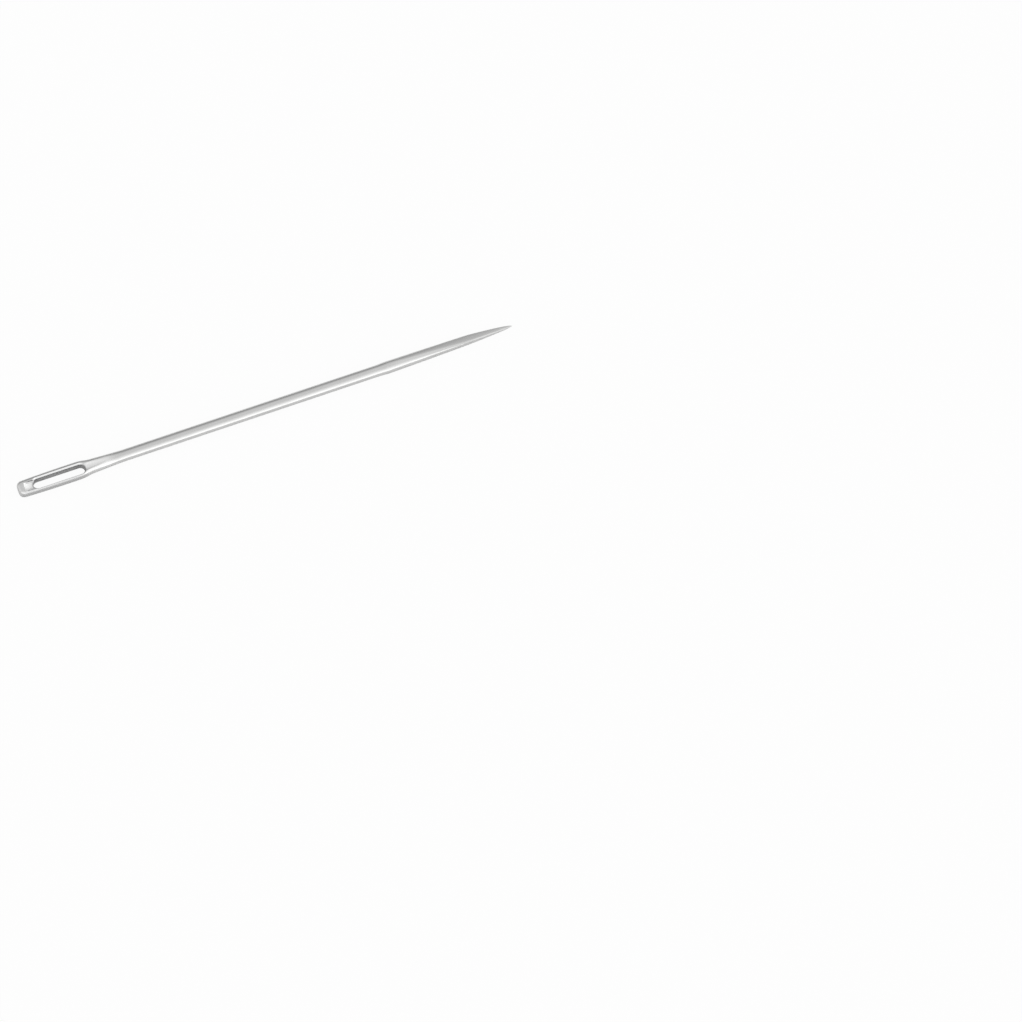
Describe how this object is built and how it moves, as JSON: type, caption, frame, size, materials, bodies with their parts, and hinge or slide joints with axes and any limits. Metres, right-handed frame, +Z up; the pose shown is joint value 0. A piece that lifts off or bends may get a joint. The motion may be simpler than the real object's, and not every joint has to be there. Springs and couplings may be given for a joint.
{
  "type": "upholstery needle",
  "caption": "Straight upholstery needle of polished plated steel with a long oval eye, thread gutters, a round shank and a three-edged ground point.",
  "frame": {"origin": "under the middle of the needle, on the surface that it rests on", "axes": "+X along the needle from the eye to the tip, +Y across the flat head, +Z up out of the head's upper face"},
  "size_m": [0.0992, 0.0032, 0.0024],
  "materials": {
    "plated_steel": "polished nickel plate"
  },
  "bodies": {
    "root": {"needle": "plated_steel"}
  },
  "joints": []
}
